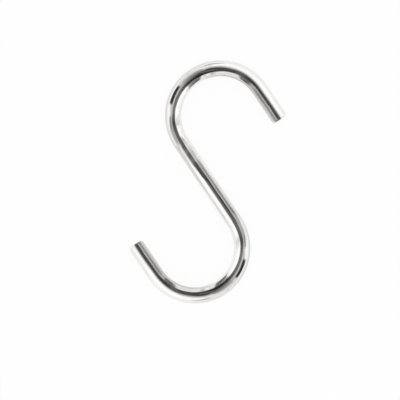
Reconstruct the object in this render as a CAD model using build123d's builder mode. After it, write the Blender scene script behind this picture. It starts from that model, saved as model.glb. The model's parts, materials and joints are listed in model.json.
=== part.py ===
from build123d import *
from math import atan2, degrees
import os

# An S-hook for hanging goods on a display pipe: one length of round steel wire, cropped to
# length, bent into two open hooks and bright plated. It is a single piece.
#
# The hook lies flat, as it comes to rest. +Z is square to its plane. +Y is its line of pull,
# from the bend that carries the load to the bend that rides on the pipe. The origin is under
# the middle of the shank, on the surface that the wire lies on.

# Driving sizes, in millimetres and degrees
wire_diameter = 6.0
throat_width = 28.4  # clear width between a leg and the shank, where the pipe goes in
shank_length = 34.8  # straight stretch between the two bends
leg_length = 13.3  # straight stretch from a bend to its end face
bend_angle = 180.0  # how far each bend turns, so that its leg comes back beside the shank
end_rounding = 1.2  # tumbled edge of each cropped end

# Sizes that follow from them
bend_radius = (throat_width + wire_diameter) / 2  # to the middle of the wire
half_shank = shank_length / 2
shank_lean = degrees(atan2(bend_radius, half_shank))  # sets both bend centres on the Y axis
hook_plane = Plane.XY.offset(wire_diameter / 2).rotated((0, 0, shank_lean))

with BuildPart() as s_hook:
    with BuildLine(hook_plane) as centreline:
        shank = Line((0, -half_shank), (0, half_shank))
        pipe_bend = JernArc(shank @ 1, shank % 1, bend_radius, -bend_angle)
        pipe_leg = Line(pipe_bend @ 1, pipe_bend @ 1 + (pipe_bend % 1) * leg_length)
        load_bend = JernArc(shank @ 0, shank % 0 * -1, bend_radius, -bend_angle)
        load_leg = Line(load_bend @ 1, load_bend @ 1 + (load_bend % 1) * leg_length)
    with BuildSketch(Plane(origin=pipe_leg @ 1, z_dir=pipe_leg % 1)) as wire_section:
        Circle(wire_diameter / 2)
    sweep(path=centreline.wire())
    cropped_ends = s_hook.faces().filter_by(GeomType.PLANE)
    fillet(cropped_ends.edges(), end_rounding)

s_hook.part.label = "s_hook"

os.makedirs("parts", exist_ok=True)
export_step(s_hook.part, "parts/s_hook.step")
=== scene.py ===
import json
import math
import random

import bmesh
import bpy
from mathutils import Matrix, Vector


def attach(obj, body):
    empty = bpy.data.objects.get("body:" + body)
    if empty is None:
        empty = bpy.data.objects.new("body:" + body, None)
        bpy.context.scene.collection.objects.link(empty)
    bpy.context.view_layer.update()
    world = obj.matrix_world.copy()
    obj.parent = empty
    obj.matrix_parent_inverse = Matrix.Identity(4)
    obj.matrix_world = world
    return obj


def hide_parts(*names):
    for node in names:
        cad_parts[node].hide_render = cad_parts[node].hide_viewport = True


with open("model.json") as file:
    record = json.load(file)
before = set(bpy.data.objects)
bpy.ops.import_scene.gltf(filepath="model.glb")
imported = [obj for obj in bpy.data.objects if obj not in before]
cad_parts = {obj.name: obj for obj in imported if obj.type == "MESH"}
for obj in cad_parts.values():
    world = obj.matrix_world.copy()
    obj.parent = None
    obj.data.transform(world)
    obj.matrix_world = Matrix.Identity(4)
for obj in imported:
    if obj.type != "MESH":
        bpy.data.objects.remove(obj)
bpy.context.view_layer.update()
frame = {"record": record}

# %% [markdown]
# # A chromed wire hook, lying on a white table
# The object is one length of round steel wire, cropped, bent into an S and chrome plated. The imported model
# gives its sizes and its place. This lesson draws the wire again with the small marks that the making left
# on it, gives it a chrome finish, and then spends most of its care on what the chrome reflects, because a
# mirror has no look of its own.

millimetre = 0.001


def in_mm(points):
    return [[round(value / millimetre, 2) for value in point] for point in points]


# %% [markdown]
# ## The line of the wire
# On the real hook the wire runs straight down a short leg, round a half turn, along the shank, round a second
# half turn and out along a second leg. The bends were made on a round pin, so each is a true arc. The sizes
# could be typed in again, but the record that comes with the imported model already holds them: the radius of
# the throat, the thickness of the wire and the direction of a leg. Reading them there keeps this mesh and the
# solid the same.

# %% Sizes from the record
mounts = {mount["name"]: mount for mount in frame["record"]["mounts"]}
pipe_seat = mounts["pipe_seat"]
pipe_leg = mounts["pipe_leg"]
wire_radius = pipe_leg["dims"]["r_mm"] * millimetre
throat_radius = pipe_seat["dims"]["r_mm"] * millimetre
bend_radius = throat_radius + wire_radius
end_rounding = 1.2 * millimetre
leg_length = pipe_leg["dims"]["length_mm"] * millimetre + end_rounding
bend_centre = Vector(pipe_seat["pos_m"])
leg_way = Vector(pipe_leg["axis"]).normalized()
shank_way = -leg_way
outward_at_leg = Vector((shank_way.y, -shank_way.x, 0.0))
half_shank = bend_centre.dot(shank_way)
bend_length = math.pi * bend_radius
half_length = leg_length + bend_length + half_shank
whole_length = 2 * half_length
print("wire, thickness and length in mm:", in_mm([(2 * wire_radius, whole_length)]))


# %% Any station on the line, counted from the end of the pipe leg
def station(run):
    """The wire's middle, its way towards the end of the pipe leg, and one side of it in the hook's plane.

    The side is the outer one in the first bend and the inner one in the second."""
    if run > half_length:
        place, way, side = station(whole_length - run)
        return Vector((-place.x, -place.y, place.z)), way, side
    if run <= leg_length:
        foot = bend_centre + outward_at_leg * bend_radius
        return foot + leg_way * (leg_length - run), leg_way.copy(), outward_at_leg.copy()
    if run <= leg_length + bend_length:
        turned = (run - leg_length) / bend_radius
        side = outward_at_leg * math.cos(turned) + shank_way * math.sin(turned)
        way = leg_way * math.cos(turned) + outward_at_leg * math.sin(turned)
        return bend_centre + side * bend_radius, way, side
    foot = bend_centre - outward_at_leg * bend_radius
    place = foot - shank_way * (run - leg_length - bend_length)
    return place, -leg_way, -outward_at_leg


for run in (0.0, leg_length, leg_length + bend_length, half_length, whole_length):
    print("station", round(run / millimetre, 1), in_mm([station(run)[0]]))

# %% [markdown]
# ## The marks of making
# A die pulled the wire to size and left long, shallow lines on it, some of which fade in and out. The bending
# pin pressed a narrow flat into the inside of each bend and thinned the outside a little. Handling left the
# whole surface slightly wavy. The cropping blade cut the ends square, and tumbling rounded their edges. A
# bump node could fake all of this, but a mirror shows the smallest change of slope, and the mesh should
# carry it too. So each mark is a real change of the radius, a few thousandths of a millimetre for the
# lines and a few hundredths for the bends and the wave. The imported model is made of flat facets, which lie
# a little inside the true round, so the skin is drawn in by as much.

# %% The lines from the die
micron = 0.001 * millimetre
line_count = 46
draw = random.Random(11)
die_lines = []
for _ in range(line_count):
    middle = draw.uniform(0.0, whole_length)
    die_lines.append({
        "angle": draw.uniform(0.0, 2 * math.pi),
        "width": math.radians(draw.uniform(3.5, 9.0)),
        "depth": draw.uniform(-4.0, 6.0) * micron,
        "middle": middle,
        "reach": draw.uniform(18.0, 90.0) * millimetre,
        "drift": draw.uniform(-0.8, 0.8),
    })
print("lines from the die:", len(die_lines))


# %% Where the bends are
def smooth_step(value, low, high):
    share = min(max((value - low) / (high - low), 0.0), 1.0)
    return share * share * (3 - 2 * share)


bend_ramp = 3.0 * millimetre


def in_a_bend(run):
    """How far a station is into a bend, from 0 on a straight stretch to 1, and the angle of its inside."""
    back = run > half_length
    near = whole_length - run if back else run
    bend_end = leg_length + bend_length
    rise = smooth_step(near, leg_length - bend_ramp, leg_length + bend_ramp)
    fall = smooth_step(near, bend_end - bend_ramp, bend_end + bend_ramp)
    return rise - fall, (0.0 if back else math.pi)


# %% How far the surface lies below a perfect wire
drift_length = 60.0 * millimetre
pin_flat_depth = 22.0 * micron
pin_flat_half_width = math.radians(24)
outer_thinning = 30.0 * micron
outer_half_width = math.radians(50)
handling_wave = 16.0 * micron
short_wave = 2.9 * millimetre
long_wave = 5.3 * millimetre
facet_margin = 9.0 * micron


def angle_between(a, b):
    return abs((a - b + math.pi) % (2 * math.pi) - math.pi)


def relief(run, angle):
    """The depth at a station, at an angle round the wire from its side."""
    depth = 0.0
    for line in die_lines:
        off = abs(run - line["middle"]) / line["reach"]
        if off >= 1.0:
            continue
        place = line["angle"] + line["drift"] * (run - line["middle"]) / drift_length
        spread = angle_between(angle, place) / line["width"]
        if spread < 3.0:
            depth += line["depth"] * math.exp(-spread * spread) * (1 - off * off)
    bend, inside = in_a_bend(run)
    if bend > 0.0:
        from_inside = angle_between(angle, inside)
        from_outside = math.pi - from_inside
        depth += bend * pin_flat_depth * math.exp(-((from_inside / pin_flat_half_width) ** 4))
        depth += bend * outer_thinning * math.exp(-((from_outside / outer_half_width) ** 2))
    wave = math.sin(run / short_wave + 2 * angle) + math.sin(run / long_wave - angle + 1.0)
    return depth + handling_wave * 0.5 * (wave + 2.0) + facet_margin


readings = 200
deepest = max(relief(whole_length * k / readings, k) for k in range(readings))
print("deepest of", readings, "readings, mm:", round(deepest / millimetre, 3))

# %% The rings along the wire
around = 128
ring_step = 0.4 * millimetre
corner_steps = 10
corner_runs = []
for step in range(corner_steps):
    turn = math.pi / 2 * step / corner_steps
    corner_runs.append(end_rounding * (1 - math.cos(turn)))
plain_length = whole_length - 2 * end_rounding
count = round(plain_length / ring_step)
plain_runs = [end_rounding + plain_length * k / count for k in range(count + 1)]
runs = corner_runs + plain_runs + [whole_length - run for run in reversed(corner_runs)]
print("rings:", len(runs), "faces about", len(runs) * around)


# %% The radius at a station, with the rounded ends
def ring_radius(run):
    from_tip = min(run, whole_length - run)
    if from_tip >= end_rounding:
        return wire_radius
    short = end_rounding - from_tip
    return wire_radius - end_rounding + math.sqrt(max(end_rounding ** 2 - short ** 2, 0.0))


for from_tip in (0.0, 0.5 * end_rounding, end_rounding):
    print("from the tip, and the radius there, in mm:", in_mm([(from_tip, ring_radius(from_tip))]))

# %% Sweep the rings into a skin
hook_mesh = bmesh.new()
straight_wire = hook_mesh.verts.layers.float_vector.new("straight_wire")


def outward_at(side, angle):
    return side * math.cos(angle) + Vector((0.0, 0.0, 1.0)) * math.sin(angle)


def add_point(place, angle, radius, run):
    """A point of the skin, which also remembers where it would lie on a straight wire."""
    point = hook_mesh.verts.new(place)
    point[straight_wire] = Vector((radius * math.cos(angle), radius * math.sin(angle), run))
    return point


def join_rings(first, second):
    for k in range(around):
        after = (k + 1) % around
        hook_mesh.faces.new((first[k], first[after], second[after], second[k]))


rings = []
for run in runs:
    middle, way, side = station(run)
    ring = []
    for k in range(around):
        angle = 2 * math.pi * k / around
        radius = ring_radius(run) - relief(run, angle)
        ring.append(add_point(middle + outward_at(side, angle) * radius, angle, radius, run))
    rings.append(ring)
for first, second in zip(rings, rings[1:]):
    join_rings(first, second)
print("skin:", len(hook_mesh.verts), "points,", len(hook_mesh.faces), "faces")

# %% [markdown]
# ## The cropped ends
# The blade leaves a face that is nearly flat: the metal drew down a little at the rim, and the last of it
# tore instead of being cut, which leaves a faint step across the face. The plating softened both. One big
# polygon would be enough for a flat disc, but it could hold no step, so the face is filled with rings that
# shrink to the middle.

# %% The shape of a cropped face
dome_height = 60.0 * micron
tear_depth = 18.0 * micron
tear_wander = 0.25


def face_rise(share, angle):
    """How far the face stands out, at a share of its radius from the middle."""
    wander = tear_wander * math.sin(3 * share * math.sin(angle))
    tear = tear_depth * smooth_step(share * math.cos(angle) + wander, 0.05, 0.35)
    return dome_height * (1 - share * share) - tear * (1 - smooth_step(share, 0.8, 1.0))


print("rise half way out, torn and clean side, mm:", in_mm([(face_rise(0.5, 0.0), face_rise(0.5, math.pi))]))

# %% Fill the two end faces
face_rings = 9
face_radius = wire_radius - end_rounding
for rim, run, outward in ((rings[0], 0.0, 1.0), (rings[-1], whole_length, -1.0)):
    middle, way, side = station(run)
    last = rim
    for step in range(1, face_rings):
        share = 1 - step / face_rings
        ring = []
        for k in range(around):
            angle = 2 * math.pi * k / around
            rise = outward * face_rise(share, angle)
            place = middle + outward_at(side, angle) * face_radius * share + way * rise
            ring.append(add_point(place, angle, face_radius * share, run - rise))
        join_rings(last, ring)
        last = ring
    rise = outward * dome_height
    hub = add_point(middle + way * rise, 0.0, 0.0, run - rise)
    for k in range(around):
        hook_mesh.faces.new((last[k], last[(k + 1) % around], hub))
bmesh.ops.recalc_face_normals(hook_mesh, faces=hook_mesh.faces)
for face in hook_mesh.faces:
    face.smooth = True
open_edges = sum(1 for edge in hook_mesh.edges if len(edge.link_faces) != 2)
print("closed skin:", len(hook_mesh.faces), "faces, open edges:", open_edges)


# %% Make the hook's object and seat it on the table
def object_from(mesh, name, data_name):
    data = bpy.data.meshes.new(data_name)
    mesh.to_mesh(data)
    mesh.free()
    made = bpy.data.objects.new(name, data)
    bpy.context.collection.objects.link(made)
    return made


hook = object_from(hook_mesh, "s_hook_wire", "s_hook_skin")
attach(hook, "root")
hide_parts("s_hook")
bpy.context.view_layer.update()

# %% [markdown]
# ## The chrome
# Chrome plate is a hard, neutral mirror with no colour of its own. On cheap wire hooks it lies over steel
# that was only drawn and tumbled. So from close by it shows fine lines that run along the wire, hair
# scratches from lying loose in a box, a pinhole here and there, and a duller haze where dust and fingers
# have been. The two cropped faces are duller still, with lines the way the blade went. A single roughness
# would look like plastic film. The patterns are laid on the straight wire, which each point remembers, so
# the lines follow the bends as they do on the real hook. Their scales count grains to the metre, so 5200
# gives lines a fifth of a millimetre wide. Heights are worked out in thousandths of a millimetre, so that
# they can be compared with what a gauge would find.


# %% A new material, and the shader that shows
def new_material(name):
    material = bpy.data.materials.new(name)
    material.use_nodes = True
    material.node_tree.nodes.clear()
    return material, material.node_tree.nodes, material.node_tree.links


def show(nodes, links, shader):
    surface = nodes.new("ShaderNodeOutputMaterial")
    links.new(shader, surface.inputs["Surface"])


# %% Patterns on the straight wire, and sums of them
def pulled_noise(nodes, links, coordinates, pull, scale, detail, turn=(0.0, 0.0, 0.0)):
    """Noise on the straight wire. Its grains are pulled out along the wire, or another way if turned."""
    mapping = nodes.new("ShaderNodeMapping")
    mapping.vector_type = "TEXTURE"
    mapping.inputs["Rotation"].default_value = turn
    mapping.inputs["Scale"].default_value = (1.0, 1.0, pull)
    links.new(coordinates, mapping.inputs["Vector"])
    noise = nodes.new("ShaderNodeTexNoise")
    noise.inputs["Scale"].default_value = scale
    noise.inputs["Detail"].default_value = detail
    links.new(mapping.outputs["Vector"], noise.inputs["Vector"])
    return noise.outputs["Fac"]


def to_range(nodes, links, value, low, high, at_low=0.0, at_high=1.0):
    change = nodes.new("ShaderNodeMapRange")
    change.clamp = True
    limits = (("From Min", low), ("From Max", high), ("To Min", at_low), ("To Max", at_high))
    for name, number in limits:
        change.inputs[name].default_value = number
    links.new(value, change.inputs["Value"])
    return change.outputs["Result"]


def maths(nodes, links, operation, *values):
    """The values added up, multiplied together, or taken off the first one."""
    total = values[0]
    for value in values[1:]:
        node = nodes.new("ShaderNodeMath")
        node.operation = operation
        for socket, given in zip(node.inputs, (total, value)):
            if isinstance(given, (int, float)):
                socket.default_value = given
            else:
                links.new(given, socket)
        total = node.outputs["Value"]
    return total


# %% Where the marks lie on the chrome
chrome, nodes, links = new_material("chrome_plate")
on_wire = nodes.new("ShaderNodeAttribute")
on_wire.attribute_name = "straight_wire"
coordinates = on_wire.outputs["Vector"]
fine_lines = pulled_noise(nodes, links, coordinates, pull=60.0, scale=5200.0, detail=3.0)
broad_lines = pulled_noise(nodes, links, coordinates, pull=40.0, scale=1500.0, detail=2.0)
haze = pulled_noise(nodes, links, coordinates, pull=3.0, scale=220.0, detail=4.0)

hair_sets = []
for turn in ((0.09, 0.05, 0.0), (-0.17, 0.08, 0.0), (0.30, -0.24, 0.0)):
    hairs = pulled_noise(nodes, links, coordinates, pull=60.0, scale=15000.0, detail=0.0, turn=turn)
    hair_sets.append(to_range(nodes, links, hairs, low=0.72, high=0.78))
scratches = maths(nodes, links, "ADD", *hair_sets)

spread_points = nodes.new("ShaderNodeTexVoronoi")
spread_points.inputs["Scale"].default_value = 900.0
links.new(coordinates, spread_points.inputs["Vector"])
from_point = spread_points.outputs["Distance"]
pinholes = to_range(nodes, links, from_point, low=0.03, high=0.06, at_low=1.0, at_high=0.0)
print("marks on the chrome: two kinds of lines, haze, pinholes and", len(hair_sets), "ways of scratches")

# %% Where the cropped faces are
flattened = nodes.new("ShaderNodeMapping")
flattened.inputs["Scale"].default_value = (1.0, 1.0, 0.0)
links.new(coordinates, flattened.inputs["Vector"])
from_middle = nodes.new("ShaderNodeVectorMath")
from_middle.operation = "LENGTH"
links.new(flattened.outputs["Vector"], from_middle.inputs[0])
all_face = face_radius * 0.96
no_face = face_radius * 1.12
cropped = to_range(nodes, links, from_middle.outputs["Value"], all_face, no_face, at_low=1.0, at_high=0.0)
blade_way = (0.0, math.pi / 2, 0.0)
blade_lines = pulled_noise(nodes, links, coordinates, pull=14.0, scale=4600.0, detail=4.0, turn=blade_way)
print("a cropped face ends, mm from its middle:", in_mm([(all_face, no_face)]))

# %% The colour of the chrome
def mix_colours(nodes, links, share, first, second):
    mix = nodes.new("ShaderNodeMix")
    mix.data_type = "RGBA"
    links.new(share, mix.inputs["Factor"])
    for name, given in (("A", first), ("B", second)):
        if isinstance(given, tuple):
            mix.inputs[name].default_value = given
        else:
            links.new(given, mix.inputs[name])
    return mix.outputs["Result"]


deeper_chrome = (0.864, 0.860, 0.852, 1.0)
paler_chrome = (0.924, 0.920, 0.912, 1.0)
bare_pinhole = (0.30, 0.29, 0.28, 1.0)
plate = nodes.new("ShaderNodeBsdfPrincipled")
plate.inputs["Metallic"].default_value = 1.0
hazed = to_range(nodes, links, haze, low=0.35, high=0.65)
tone = mix_colours(nodes, links, hazed, deeper_chrome, paler_chrome)
links.new(mix_colours(nodes, links, pinholes, tone, bare_pinhole), plate.inputs["Base Color"])
print("chrome reflects from", deeper_chrome[:3], "to", paler_chrome[:3])

# %% The roughness of the chrome
roughnesses = [to_range(nodes, links, haze, low=0.40, high=0.70, at_low=0.045, at_high=0.10)]
for mark, low, high, most in ((fine_lines, 0.45, 0.75, 0.05), (scratches, 0.0, 1.0, 0.12),
                              (pinholes, 0.0, 1.0, 0.30), (cropped, 0.0, 1.0, 0.20)):
    roughnesses.append(to_range(nodes, links, mark, low, high, at_high=most))
links.new(maths(nodes, links, "ADD", *roughnesses), plate.inputs["Roughness"])
print("causes of roughness:", len(roughnesses))

# %% The heights of the marks, in microns
blade_height = 12.0
off_the_face = maths(nodes, links, "SUBTRACT", 1.0, cropped)
heights = [maths(nodes, links, "MULTIPLY", cropped, blade_lines, blade_height)]
for mark, most in ((fine_lines, 3.4), (broad_lines, 3.6), (scratches, -1.2), (pinholes, -2.5)):
    heights.append(maths(nodes, links, "MULTIPLY", mark, most, off_the_face))
marks = nodes.new("ShaderNodeBump")
marks.inputs["Strength"].default_value = 1.0
marks.inputs["Distance"].default_value = micron
links.new(maths(nodes, links, "ADD", *heights), marks.inputs["Height"])
links.new(marks.outputs["Normal"], plate.inputs["Normal"])
show(nodes, links, plate.outputs["BSDF"])
hook.data.materials.append(chrome)
print("chrome nodes:", len(nodes))

# %% [markdown]
# ## The camera
# The photograph looks straight down on the hook, which leans a little to the right in the picture. The hook
# keeps its place, so the camera turns instead. It stands well back with a long lens, as is usual for small
# goods, so both hooks show at the same size. Where the hook lies in the picture is given in its pixels.

# %% Camera over the hook
picture_turn = math.radians(10.88)
picture_width = 145.3 * millimetre
picture_pixels = 400
hook_right_of_middle = 7.68
hook_above_middle = 18.17
picture_right = Vector((math.cos(picture_turn), math.sin(picture_turn), 0.0))
picture_up = Vector((-math.sin(picture_turn), math.cos(picture_turn), 0.0))
pixel = picture_width / picture_pixels
aim = -picture_right * hook_right_of_middle * pixel - picture_up * hook_above_middle * pixel
camera_height = 1.5
film_width = 36.0
camera_data = bpy.data.cameras.new("table_camera")
camera_data.sensor_width = film_width
camera_data.lens = film_width * (camera_height - wire_radius) / picture_width
camera_data.clip_end = 20.0
camera = bpy.data.objects.new("table_camera", camera_data)
camera.location = aim + Vector((0.0, 0.0, camera_height))
camera.rotation_euler = (0.0, 0.0, picture_turn)
bpy.context.collection.objects.link(camera)
bpy.context.scene.camera = camera
bpy.context.scene.view_settings.view_transform = "Standard"
print("lens, mm:", round(camera_data.lens, 1))

# %% [markdown]
# ## The table and the room
# The table is a plain white sheet. It has to look white to the camera and still keep the hook's soft shadow,
# so its finish is part plain white, which takes the shadow, and part even white light. The chrome sees that
# white table too. The room round it is a white tent, a little darker near the horizon.

# %% The table
table_half = 2.5
table_mesh = bmesh.new()
corners = [(-table_half, -table_half, 0.0), (table_half, -table_half, 0.0),
           (table_half, table_half, 0.0), (-table_half, table_half, 0.0)]
table_mesh.faces.new([table_mesh.verts.new(corner) for corner in corners])
table = object_from(table_mesh, "table_sheet", "table_sheet")
print("table:", 2 * table_half, "m wide")


# %% The finish of the table
def blend_shaders(nodes, links, share, first, second):
    blend = nodes.new("ShaderNodeMixShader")
    links.new(share, blend.inputs["Fac"])
    links.new(first, blend.inputs[1])
    links.new(second, blend.inputs[2])
    return blend.outputs["Shader"]


table_white = (0.84, 0.84, 0.84, 1.0)
light_for_camera = 0.92
light_for_mirrors = 0.50
sheet, nodes, links = new_material("white_sheet")
matt = nodes.new("ShaderNodeBsdfDiffuse")
matt.inputs["Color"].default_value = table_white
glow = nodes.new("ShaderNodeEmission")
glow.inputs["Strength"].default_value = 1.0
light_path = nodes.new("ShaderNodeLightPath")
shares = []
for ray, most in (("Is Camera Ray", light_for_camera), ("Is Glossy Ray", light_for_mirrors),
                  ("Is Transmission Ray", light_for_mirrors)):
    shares.append(maths(nodes, links, "MULTIPLY", light_path.outputs[ray], most))
lit = maths(nodes, links, "ADD", *shares)
show(nodes, links, blend_shaders(nodes, links, lit, matt.outputs["BSDF"], glow.outputs["Emission"]))
table.data.materials.append(sheet)
print("share of even light for the camera:", light_for_camera)

# %% The tent
light_at_table = 0.95
light_overhead = 1.10
full_height = 0.4
tent = bpy.data.worlds.new("white_tent")
bpy.context.scene.world = tent
tent.use_nodes = True
nodes, links = tent.node_tree.nodes, tent.node_tree.links
nodes.clear()
way_out = nodes.new("ShaderNodeTexCoord")
parts = nodes.new("ShaderNodeSeparateXYZ")
links.new(way_out.outputs["Generated"], parts.inputs["Vector"])
wall_light = to_range(nodes, links, parts.outputs["Z"], 0.0, full_height, light_at_table, light_overhead)
light_path = nodes.new("ShaderNodeLightPath")
choice = nodes.new("ShaderNodeMix")
choice.data_type = "FLOAT"
choice.inputs["B"].default_value = 1.0
links.new(light_path.outputs["Is Camera Ray"], choice.inputs["Factor"])
links.new(wall_light, choice.inputs["A"])
background = nodes.new("ShaderNodeBackground")
background.inputs["Color"].default_value = (1.0, 1.0, 1.0, 1.0)
links.new(choice.outputs["Result"], background.inputs["Strength"])
room = nodes.new("ShaderNodeOutputWorld")
links.new(background.outputs["Background"], room.inputs["Surface"])
print("tent walls glow from", light_at_table, "at the table to", light_overhead, "overhead")

# %% [markdown]
# ## The painted reflections that draw the wire
# In an all-white tent chrome vanishes. What draws it in the photograph is dark, and here it is painted into
# the
# reflections: a dark disc that stands for the camera's own front and shows as the streak down the middle of
# the wire, and a few glowing cards round the hook. A mirror shows what lies along the turned-back ray. So
# each card is placed by following that ray from the stretch of wire where the card should show. The cards are
# seen only in reflections, only from their front, only from near by and only at the first bounce, so what
# they show is painted reflection.

# %% Finish of a card that paints a reflection: light from its front, clear from its back and from afar, soft at its edges
card_white = (1.0, 0.99, 0.97, 1.0)
fading = 1.2


def card_finish(name, farthest):
    """Paints a reflection. Each point of a card has its own shade, how bright it is, and cover, how solid it
    is.
    """
    material, nodes, links = new_material(name)
    light = nodes.new("ShaderNodeEmission")
    light.inputs["Color"].default_value = card_white
    shade = nodes.new("ShaderNodeAttribute")
    shade.attribute_name = "shade"
    links.new(shade.outputs["Fac"], light.inputs["Strength"])
    clear = nodes.new("ShaderNodeBsdfTransparent")
    cover = nodes.new("ShaderNodeAttribute")
    cover.attribute_name = "cover"
    facing = nodes.new("ShaderNodeNewGeometry")
    front = maths(nodes, links, "SUBTRACT", 1.0, facing.outputs["Backfacing"])
    path = nodes.new("ShaderNodeLightPath")
    far_end = farthest * fading
    near = to_range(nodes, links, path.outputs["Ray Length"], farthest, far_end, at_low=1.0, at_high=0.0)
    once = to_range(nodes, links, path.outputs["Glossy Depth"], 1.0, 2.0, at_low=1.0, at_high=0.0)
    shown = maths(nodes, links, "MULTIPLY", cover.outputs["Fac"], front, near, once)
    show(nodes, links, blend_shaders(nodes, links, shown, clear.outputs["BSDF"], light.outputs["Emission"]))
    return material


card_sight = 15.0 * millimetre
front_sight = 1.0
card_paint = card_finish("painted_reflection_card", card_sight)
front_paint = card_finish("painted_camera_reflection", front_sight)
print("card finishes:", card_paint.name, front_paint.name)

# %% Stand one card up
cards = []


def stand_card(name, points, columns, shades, covers, spots, paint):
    """A grid of points made into one card that faces the spots it is seen from."""
    mesh = bmesh.new()
    shade_layer = mesh.verts.layers.float.new("shade")
    cover_layer = mesh.verts.layers.float.new("cover")
    made = []
    for point, shade, cover in zip(points, shades, covers):
        vert = mesh.verts.new(point)
        vert[shade_layer] = shade
        vert[cover_layer] = cover
        made.append(vert)
    rows = len(made) // columns
    for row in range(rows - 1):
        for column in range(columns - 1):
            start = row * columns + column
            mesh.faces.new((made[start], made[start + 1], made[start + columns + 1], made[start + columns]))
    mesh.verts.index_update()
    mesh.normal_update()
    facing = 0.0
    for face in mesh.faces:
        corner = face.verts[0]
        facing += (spots[corner.index] - corner.co).dot(face.normal) * face.calc_area()
    if facing < 0:
        bmesh.ops.reverse_faces(mesh, faces=mesh.faces)
    card = object_from(mesh, name, name)
    card.data.materials.append(paint)
    card.visible_camera = False
    card.visible_diffuse = False
    card.visible_transmission = False
    card.visible_shadow = False
    card.visible_volume_scatter = False
    cards.append(card)


# %% The camera's dark front, a painted reflection
# A dark disc over the hook that only mirror rays see: it paints the streak down the middle of the wire.
front_height = 0.233
front_rings = 24
front_turns = 48
front_shade = 0.13
dark_reach = 0.038
fade_reach = 0.145
points, shades, covers = [], [], []
for ring in range(front_rings + 1):
    reach = fade_reach * ring / front_rings
    for turn in range(front_turns + 1):
        angle = 2 * math.pi * turn / front_turns
        points.append(Vector((reach * math.cos(angle), reach * math.sin(angle), front_height)))
        shades.append(front_shade)
        covers.append(1.0 - smooth_step(reach, dark_reach, fade_reach))
spots = [Vector((0.0, 0.0, 0.0))] * len(points)
stand_card("painted_camera_reflection", points, front_turns + 1, shades, covers, spots, front_paint)
print("dark front:", front_height, "m over the table, fading out at", fade_reach, "m from its middle")

# %% The ray that a spot on the wire sends to a card
floor_share = 0.85
steepest = 0.95


def mirrored_spot(run, across, reach, turned):
    """The place where a card shows in a spot of the wire, and the spot.

    run is counted from the end of the leg, and across goes from -1 on the inside of the bend to 1 outside.
    A ray that goes down stops short of the table."""
    middle, way, side = station(run)
    tilt = math.asin(min(max((end_rounding - run) / end_rounding, 0.0), steepest))
    ring = side * across + Vector((0.0, 0.0, 1.0)) * math.sqrt(1 - across * across)
    normal = ring * math.cos(tilt) + way * math.sin(tilt)
    spot = middle + ring * ring_radius(max(run, 0.0))
    if turned:
        spot = Vector((-spot.x, -spot.y, spot.z))
        normal = Vector((-normal.x, -normal.y, normal.z))
    look = (spot - camera.location).normalized()
    ray = look - 2 * look.dot(normal) * normal
    if ray.z < 0:
        reach = min(reach, floor_share * spot.z / -ray.z)
    return spot + ray * reach, spot


# %% The stations and the edges of a card
first_run = 0.05
tip_step = 0.12
widest_step = 0.9


def stations_between(start, end, soft_run):
    """Stations in mm, close together on the rounded tip."""
    stretch = []
    run = max(start, first_run)
    while run < end:
        stretch.append(run)
        run += tip_step if run < end_rounding / millimetre else min(widest_step, soft_run / 3)
    stretch.append(end)
    return stretch


def between(stops, run):
    """The two edges and the brightness of a card at a station."""
    for before, after in zip(stops, stops[1:]):
        if run <= after[0]:
            share = smooth_step(run, before[0], after[0])
            return [a + (b - a) * share for a, b in zip(before[1:], after[1:])]
    return stops[-1][1:]


# %% A card that shows on a stretch of the wire
card_rows = 22


def card_for(name, stops, soft_run=0.8, soft_first=0.08, soft_second=0.08, lean=0.0, reach=11.0,
             hooks=("pipe", "load")):
    """Cards that paint one soft-edged patch into the reflection on a stretch of each hook named.

    Each stop has a station in mm, the first and the second edge across the wire, and a brightness. The soft
    widths are those over which the two ends, the first edge and the second edge fade."""
    start, end = stops[0][0] - soft_run / 2, stops[-1][0] + soft_run / 2
    stretch = stations_between(start, end, soft_run)
    for hook_name in hooks:
        points, shades, covers, spots = [], [], [], []
        for row in range(card_rows):
            down = row / (card_rows - 1)
            for run in stretch:
                low, high, shade = between(stops, run)
                way = 1.0 if high > low else -1.0
                low, high = low - way * soft_first / 2, high + way * soft_second / 2
                across = low + (high - low) * down
                seen_from = (run + lean * down) * millimetre
                point, spot = mirrored_spot(seen_from, across, reach * millimetre, hook_name == "load")
                points.append(point)
                spots.append(spot)
                shades.append(shade)
                cover = smooth_step(run, start, start + soft_run) if start > 0 else 1.0
                cover *= smooth_step(end - run, 0.0, soft_run)
                cover *= smooth_step(abs(across - low), 0.0, soft_first)
                cover *= smooth_step(abs(high - across), 0.0, soft_second)
                covers.append(cover)
        stand_card(name + "_" + hook_name, points, len(stretch), shades, covers, spots, card_paint)
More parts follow.
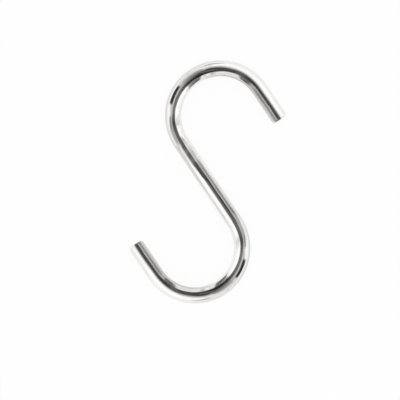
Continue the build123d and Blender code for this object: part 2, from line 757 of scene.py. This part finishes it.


# %% [markdown]
# ## The painted streak
# The dark disc for the camera's front paints a plain dark streak. In the photograph the streak narrows and
# widens, is crisp on its inner side and fades on its outer side, and is nearly black near the crown of each
# bend. So cards nearer to the wire paint it again, with edges and tones that change along the wire. Where
# cards overlap, the one with the shorter reach covers the other. Their stops are chosen one by one: the
# render is compared with the photograph along the wire, and a stop is moved where they differ.

# %% The painted streak and what lies in it
# These cards paint the streak, its grey fade and the lighter stripes in it into the reflection.
card_for("streak", [(-3, 0.12, -0.255, 0.060), (3, 0.12, -0.272, 0.060), (5.5, 0.105, -0.252, 0.058),
                    (7.5, 0.09, -0.283, 0.060), (10, 0.06, -0.292, 0.058), (14.3, 0.02, -0.315, 0.052),
                    (16.5, 0.02, -0.35, 0.042), (19.8, 0.025, -0.335, 0.050), (21.2, 0.06, -0.36, 0.115),
                    (23.3, 0.07, -0.40, 0.110), (25.0, 0.03, -0.40, 0.065), (27.0, 0.04, -0.41, 0.085),
                    (28.9, 0.06, -0.405, 0.062), (31.8, 0.10, -0.430, 0.048), (34.8, 0.14, -0.43, 0.038),
                    (36.6, 0.04, -0.43, 0.024), (38.5, -0.09, -0.42, 0.014), (41.7, -0.14, -0.360, 0.008),
                    (44.0, -0.13, -0.400, 0.020), (46.0, -0.08, -0.370, 0.095), (49.0, -0.06, -0.325, 0.140),
                    (51.5, -0.04, -0.300, 0.170), (55.5, 0.01, -0.250, 0.190), (57.5, 0.09, -0.240, 0.120),
                    (60.0, 0.15, -0.225, 0.058), (62.0, 0.175, -0.265, 0.110), (64.5, 0.165, -0.245, 0.125),
                    (66.2, 0.15, -0.225, 0.120), (68.0, 0.14, -0.195, 0.110)],
         soft_run=1.6, soft_first=0.07, soft_second=0.10, reach=10.0)
card_for("streak_fade", [(-3, 0.11, 0.250, 0.42), (8, 0.08, 0.235, 0.42), (13, 0.03, 0.165, 0.44),
                         (17, 0.00, 0.15, 0.44), (20, 0.01, 0.18, 0.42), (26, 0.04, 0.21, 0.42),
                         (32, 0.10, 0.28, 0.40), (35, 0.11, 0.32, 0.38)],
         soft_run=2.0, soft_first=0.06, soft_second=0.26, reach=12.0)
card_for("leg_gloss", [(-3, -0.01, 0.13, 0.120), (4, 0.00, 0.12, 0.115), (6, 0.04, 0.10, 0.080)],
         soft_run=1.6, soft_first=0.08, soft_second=0.05, reach=9.2)
card_for("crown_light", [(31.0, -0.11, -0.19, 0.11), (33.3, -0.09, -0.19, 0.18), (34.8, -0.07, -0.19, 0.18),
                         (36.2, -0.03, -0.16, 0.13), (37.8, 0.02, -0.12, 0.16)],
         soft_run=1.6, soft_first=0.05, soft_second=0.05, reach=9.4)
print("cards so far, with the dark front:", len(cards))

# %% [markdown]
# ## The leg
# On the inner side of the streak each leg shows a painted reflection of a pale stretch with a grey band in
# it, which ends soon after the bend begins. Where the wire rounds over at its tip, a darker painted patch
# closes them off.

# %% The leg
# These cards paint the darker tip patch, the pale stretch and the grey band into the reflection.
card_for("tip_line", [(-3, -0.12, -0.66, 0.20), (0.55, -0.12, -0.66, 0.20)],
         soft_run=0.5, soft_first=0.08, soft_second=0.16, reach=9.0)
card_for("leg_pale", [(-3, -0.27, -0.73, 0.45), (8, -0.29, -0.74, 0.46), (13, -0.30, -0.765, 0.46),
                      (17.2, -0.33, -0.75, 0.46)],
         soft_run=0.8, soft_first=0.07, soft_second=0.18, reach=12.0)
card_for("leg_band", [(-3, -0.42, -0.58, 0.30), (7, -0.42, -0.59, 0.28), (10, -0.43, -0.64, 0.26),
                      (13, -0.44, -0.655, 0.27), (15, -0.46, -0.67, 0.36)],
         soft_run=1.2, soft_first=0.07, soft_second=0.14, reach=10.0)
print("cards so far, with the dark front:", len(cards))

# %% [markdown]
# ## The inside of the bend
# Two dark flags with crisp edges are painted into the reflection on the inside of each bend, with a pale
# stretch between them that has a small darker spot and a painted gleam in it. A faint grey patch follows near
# the end of the bend. The rim inside them is pale grey, with one darker spot. All of these are painted
# reflections, and each has a card of its own.

# %% The inside of the bend
card_for("inner_rim", [(-3, -0.72, -0.96, 0.74), (12, -0.74, -0.965, 0.68), (15, -0.79, -0.967, 0.58),
                       (20, -0.82, -0.967, 0.56), (24, -0.79, -0.967, 0.64), (30, -0.76, -0.96, 0.68),
                       (37, -0.79, -0.96, 0.78)],
         soft_run=3.0, soft_first=0.06, soft_second=0.06, reach=12.8)
# A card that paints one darker spot into the reflection on the inner rim.
card_for("painted_rim_spot", [(27.9, -0.84, -0.93, 0.50), (28.8, -0.84, -0.93, 0.50)],
         soft_run=0.9, soft_first=0.05, soft_second=0.05, reach=11.6)
card_for("first_flag", [(16.9, -0.29, -0.74, 0.160), (19.0, -0.30, -0.76, 0.135), (21.2, -0.31, -0.76, 0.140),
                        (21.9, -0.32, -0.67, 0.17), (22.6, -0.32, -0.50, 0.22)],
         soft_run=0.8, soft_first=0.06, soft_second=0.08)
card_for("between_flags", [(22.5, -0.43, -0.77, 0.86), (27, -0.45, -0.77, 0.80), (31, -0.45, -0.77, 0.90),
                           (33.3, -0.44, -0.77, 0.80), (37.3, -0.44, -0.79, 0.72)],
         soft_run=0.8, soft_first=0.10, soft_second=0.06, reach=11.4)
# A card that paints a small darker spot into the reflection between the flags.
card_for("painted_inner_spot", [(32.4, -0.48, -0.68, 0.40), (34.0, -0.48, -0.68, 0.40)],
         soft_run=1.2, soft_first=0.08, soft_second=0.10, reach=10.0)
# A card that paints a gleam, a painted highlight, between the flags.
card_for("inner_gloss", [(34.3, -0.50, -0.66, 1.05), (36.0, -0.50, -0.66, 1.05)],
         soft_run=1.2, soft_first=0.08, soft_second=0.08, reach=9.6)
card_for("second_flag", [(37.8, -0.31, -0.66, 0.12), (38.4, -0.31, -0.75, 0.115),
                         (39.0, -0.31, -0.795, 0.115), (42.5, -0.30, -0.795, 0.13),
                         (44.1, -0.29, -0.785, 0.20)],
         soft_run=0.6, soft_first=0.06, soft_second=0.06, lean=1.0)
card_for("flag_tail", [(43.0, -0.66, -0.79, 0.16), (45.7, -0.70, -0.79, 0.18)],
         soft_run=0.8, soft_first=0.06, soft_second=0.05, reach=10.8)
card_for("flag_light", [(39.0, -0.30, -0.44, 0.15), (41.2, -0.36, -0.55, 0.22), (43.0, -0.38, -0.60, 0.30),
                        (44.6, -0.38, -0.57, 0.36)],
         soft_run=1.6, soft_first=0.08, soft_second=0.12, reach=10.4)
# A card that paints a faint grey patch into the reflection near the end of the bend.
card_for("painted_inner_grey", [(56.5, -0.62, -0.78, 0.84), (58.3, -0.36, -0.72, 0.88), (59.6, -0.26, -0.74, 0.78),
                          (61.3, -0.20, -0.58, 0.66)],
         soft_run=1.6, soft_first=0.10, soft_second=0.14, reach=10.4)
print("cards so far, with the dark front:", len(cards))

# %% [markdown]
# ## The outside of the bend
# At the crown a grey patch is painted into the reflection beside the streak, dark at its root and pale
# towards the rim, and goes on along the wire as a soft grey band. On that band lies one short, nearly black
# painted flag. A thin darker line is painted before the patch and another after the flag. The outermost rim
# is painted a shade darker than the white beside it, which is what keeps the hook's outline in sight on
# white.

# %% The outside of the bend
card_for("outer_grey", [(34, 0.17, 0.30, 0.58), (35.8, 0.11, 0.29, 0.44), (37.4, 0.04, 0.36, 0.31),
                        (39.5, 0.02, 0.39, 0.31), (41.7, 0.01, 0.40, 0.33), (43.8, 0.01, 0.43, 0.36),
                        (45.5, 0.01, 0.40, 0.44), (48, 0.03, 0.32, 0.54), (51, 0.05, 0.34, 0.56),
                        (53.8, 0.06, 0.44, 0.58), (55.2, 0.08, 0.39, 0.58), (56.7, 0.10, 0.35, 0.62),
                        (58.2, 0.12, 0.50, 0.44), (60.8, 0.13, 0.53, 0.42), (62.5, 0.14, 0.58, 0.43),
                        (64, 0.16, 0.58, 0.46), (68, 0.20, 0.60, 0.46)],
         soft_run=3.0, soft_first=0.08, soft_second=0.26)
card_for("grey_root", [(36.0, -0.05, 0.11, 0.11), (40.5, -0.07, 0.11, 0.15), (44.0, -0.04, 0.12, 0.22)],
         soft_run=2.4, soft_first=0.06, soft_second=0.14, reach=10.7)
card_for("outer_pale", [(33, 0.36, 0.74, 0.92), (37, 0.38, 0.74, 0.88), (44, 0.42, 0.70, 0.80),
                        (46.4, 0.44, 0.62, 0.62)],
         soft_run=2.0, soft_first=0.10, soft_second=0.10, reach=12.0)
# A card that paints a small grey patch into the pale reflection outside the crown.
card_for("painted_outer_grey", [(41.1, 0.60, 0.74, 0.68), (42.1, 0.58, 0.74, 0.66)],
         soft_run=0.9, soft_first=0.08, soft_second=0.08, reach=10.6)
# A card that paints a thin darker line into the reflection before the grey patch.
card_for("painted_crown_line", [(29.0, 0.55, 0.64, 0.62), (32.5, 0.55, 0.65, 0.36), (35.5, 0.54, 0.63, 0.38)],
         soft_run=1.8, soft_first=0.06, soft_second=0.06, reach=10.0)
card_for("black_flag", [(46.5, 0.225, 0.565, 0.030), (50.0, 0.225, 0.585, 0.030), (53.3, 0.235, 0.60, 0.030)],
         soft_run=1.0, soft_first=0.07, soft_second=0.08, reach=10.0)
# A card that paints a thin darker line into the reflection after the black flag.
card_for("painted_bend_line", [(57.6, 0.30, 0.39, 0.28), (59.6, 0.31, 0.40, 0.24), (61.6, 0.36, 0.49, 0.20)],
         soft_run=1.4, soft_first=0.06, soft_second=0.08, reach=9.8)
card_for("outer_rim", [(30, 0.80, 0.96, 0.86), (40, 0.80, 0.96, 0.80), (50, 0.80, 0.96, 0.76),
                       (60, 0.80, 0.96, 0.78), (84, 0.80, 0.96, 0.80)],
         soft_run=6.0, soft_first=0.10, soft_second=0.06, reach=12.0)
print("cards so far, with the dark front:", len(cards))

# %% [markdown]
# ## The shank
# The two halves of the hook show the same painted reflections, apart from those on the shank. So these cards
# stand only once, worked out from the load bend to the pipe bend: the streak goes on as a painted dark line,
# with a grey band beside it on one side and a paler edge on the other.

# %% The shank
shank_only = ("load",)
card_for("shank_line", [(65.6, 0.13, 0.20, 0.14), (68.4, 0.08, 0.262, 0.080), (72.0, 0.09, 0.286, 0.052),
                        (74.5, 0.09, 0.280, 0.034), (77.2, 0.08, 0.275, 0.030), (79.0, 0.08, 0.245, 0.050),
                        (81.5, 0.07, 0.245, 0.055), (84.5, 0.06, 0.255, 0.033), (86.0, -0.16, 0.25, 0.055),
                        (87.9, -0.255, 0.235, 0.068), (91.3, -0.25, 0.228, 0.078), (92.4, -0.28, 0.21, 0.070),
                        (94.0, -0.285, 0.185, 0.180), (96.7, -0.275, 0.18, 0.125),
                        (98.2, -0.25, 0.165, 0.210), (99.7, -0.27, 0.17, 0.110),
                        (101.2, -0.20, 0.20, 0.115), (104.5, -0.18, 0.18, 0.125)],
         soft_run=2.0, soft_first=0.07, soft_second=0.09, reach=9.6, hooks=shank_only)
card_for("shank_fade", [(90, -0.20, -0.36, 0.42), (97, -0.24, -0.42, 0.44), (102, -0.20, -0.38, 0.50)],
         soft_run=4.0, soft_first=0.07, soft_second=0.24, reach=12.0, hooks=shank_only)
card_for("shank_pale", [(66, 0.24, 0.62, 0.46), (70, 0.24, 0.74, 0.52), (84, 0.23, 0.69, 0.50),
                        (90, 0.23, 0.68, 0.52), (92.5, 0.22, 0.66, 0.50), (94.0, 0.22, 0.65, 0.70),
                        (96.7, 0.20, 0.64, 0.62), (99.7, 0.18, 0.64, 0.82), (101.5, 0.20, 0.56, 0.70),
                        (102.7, 0.22, 0.50, 0.50), (103.6, 0.22, 0.45, 0.60)],
         soft_run=1.4, soft_first=0.07, soft_second=0.16, reach=12.0, hooks=shank_only)
card_for("shank_band", [(69, 0.46, 0.68, 0.28), (71.3, 0.42, 0.66, 0.22), (74, 0.42, 0.63, 0.31),
                        (77, 0.40, 0.60, 0.32), (80.1, 0.37, 0.57, 0.22), (82.5, 0.39, 0.58, 0.32),
                        (87.9, 0.36, 0.55, 0.33), (89.4, 0.36, 0.54, 0.25), (91.5, 0.35, 0.56, 0.36),
                        (93.5, 0.34, 0.45, 0.44), (95.8, 0.34, 0.44, 0.46)],
         soft_run=2.4, soft_first=0.08, soft_second=0.12, reach=10.5, hooks=shank_only)
card_for("shank_edge", [(67, -0.70, -0.80, 0.76), (70, -0.68, -0.81, 0.66), (78, -0.69, -0.81, 0.70),
                        (84.7, -0.68, -0.82, 0.68), (90, -0.62, -0.82, 0.74), (98, -0.54, -0.82, 0.76),
                        (101.6, -0.52, -0.80, 0.62)],
         soft_run=2.0, soft_first=0.12, soft_second=0.06, reach=12.0, hooks=shank_only)
print("cards in all, with the dark front:", len(cards))
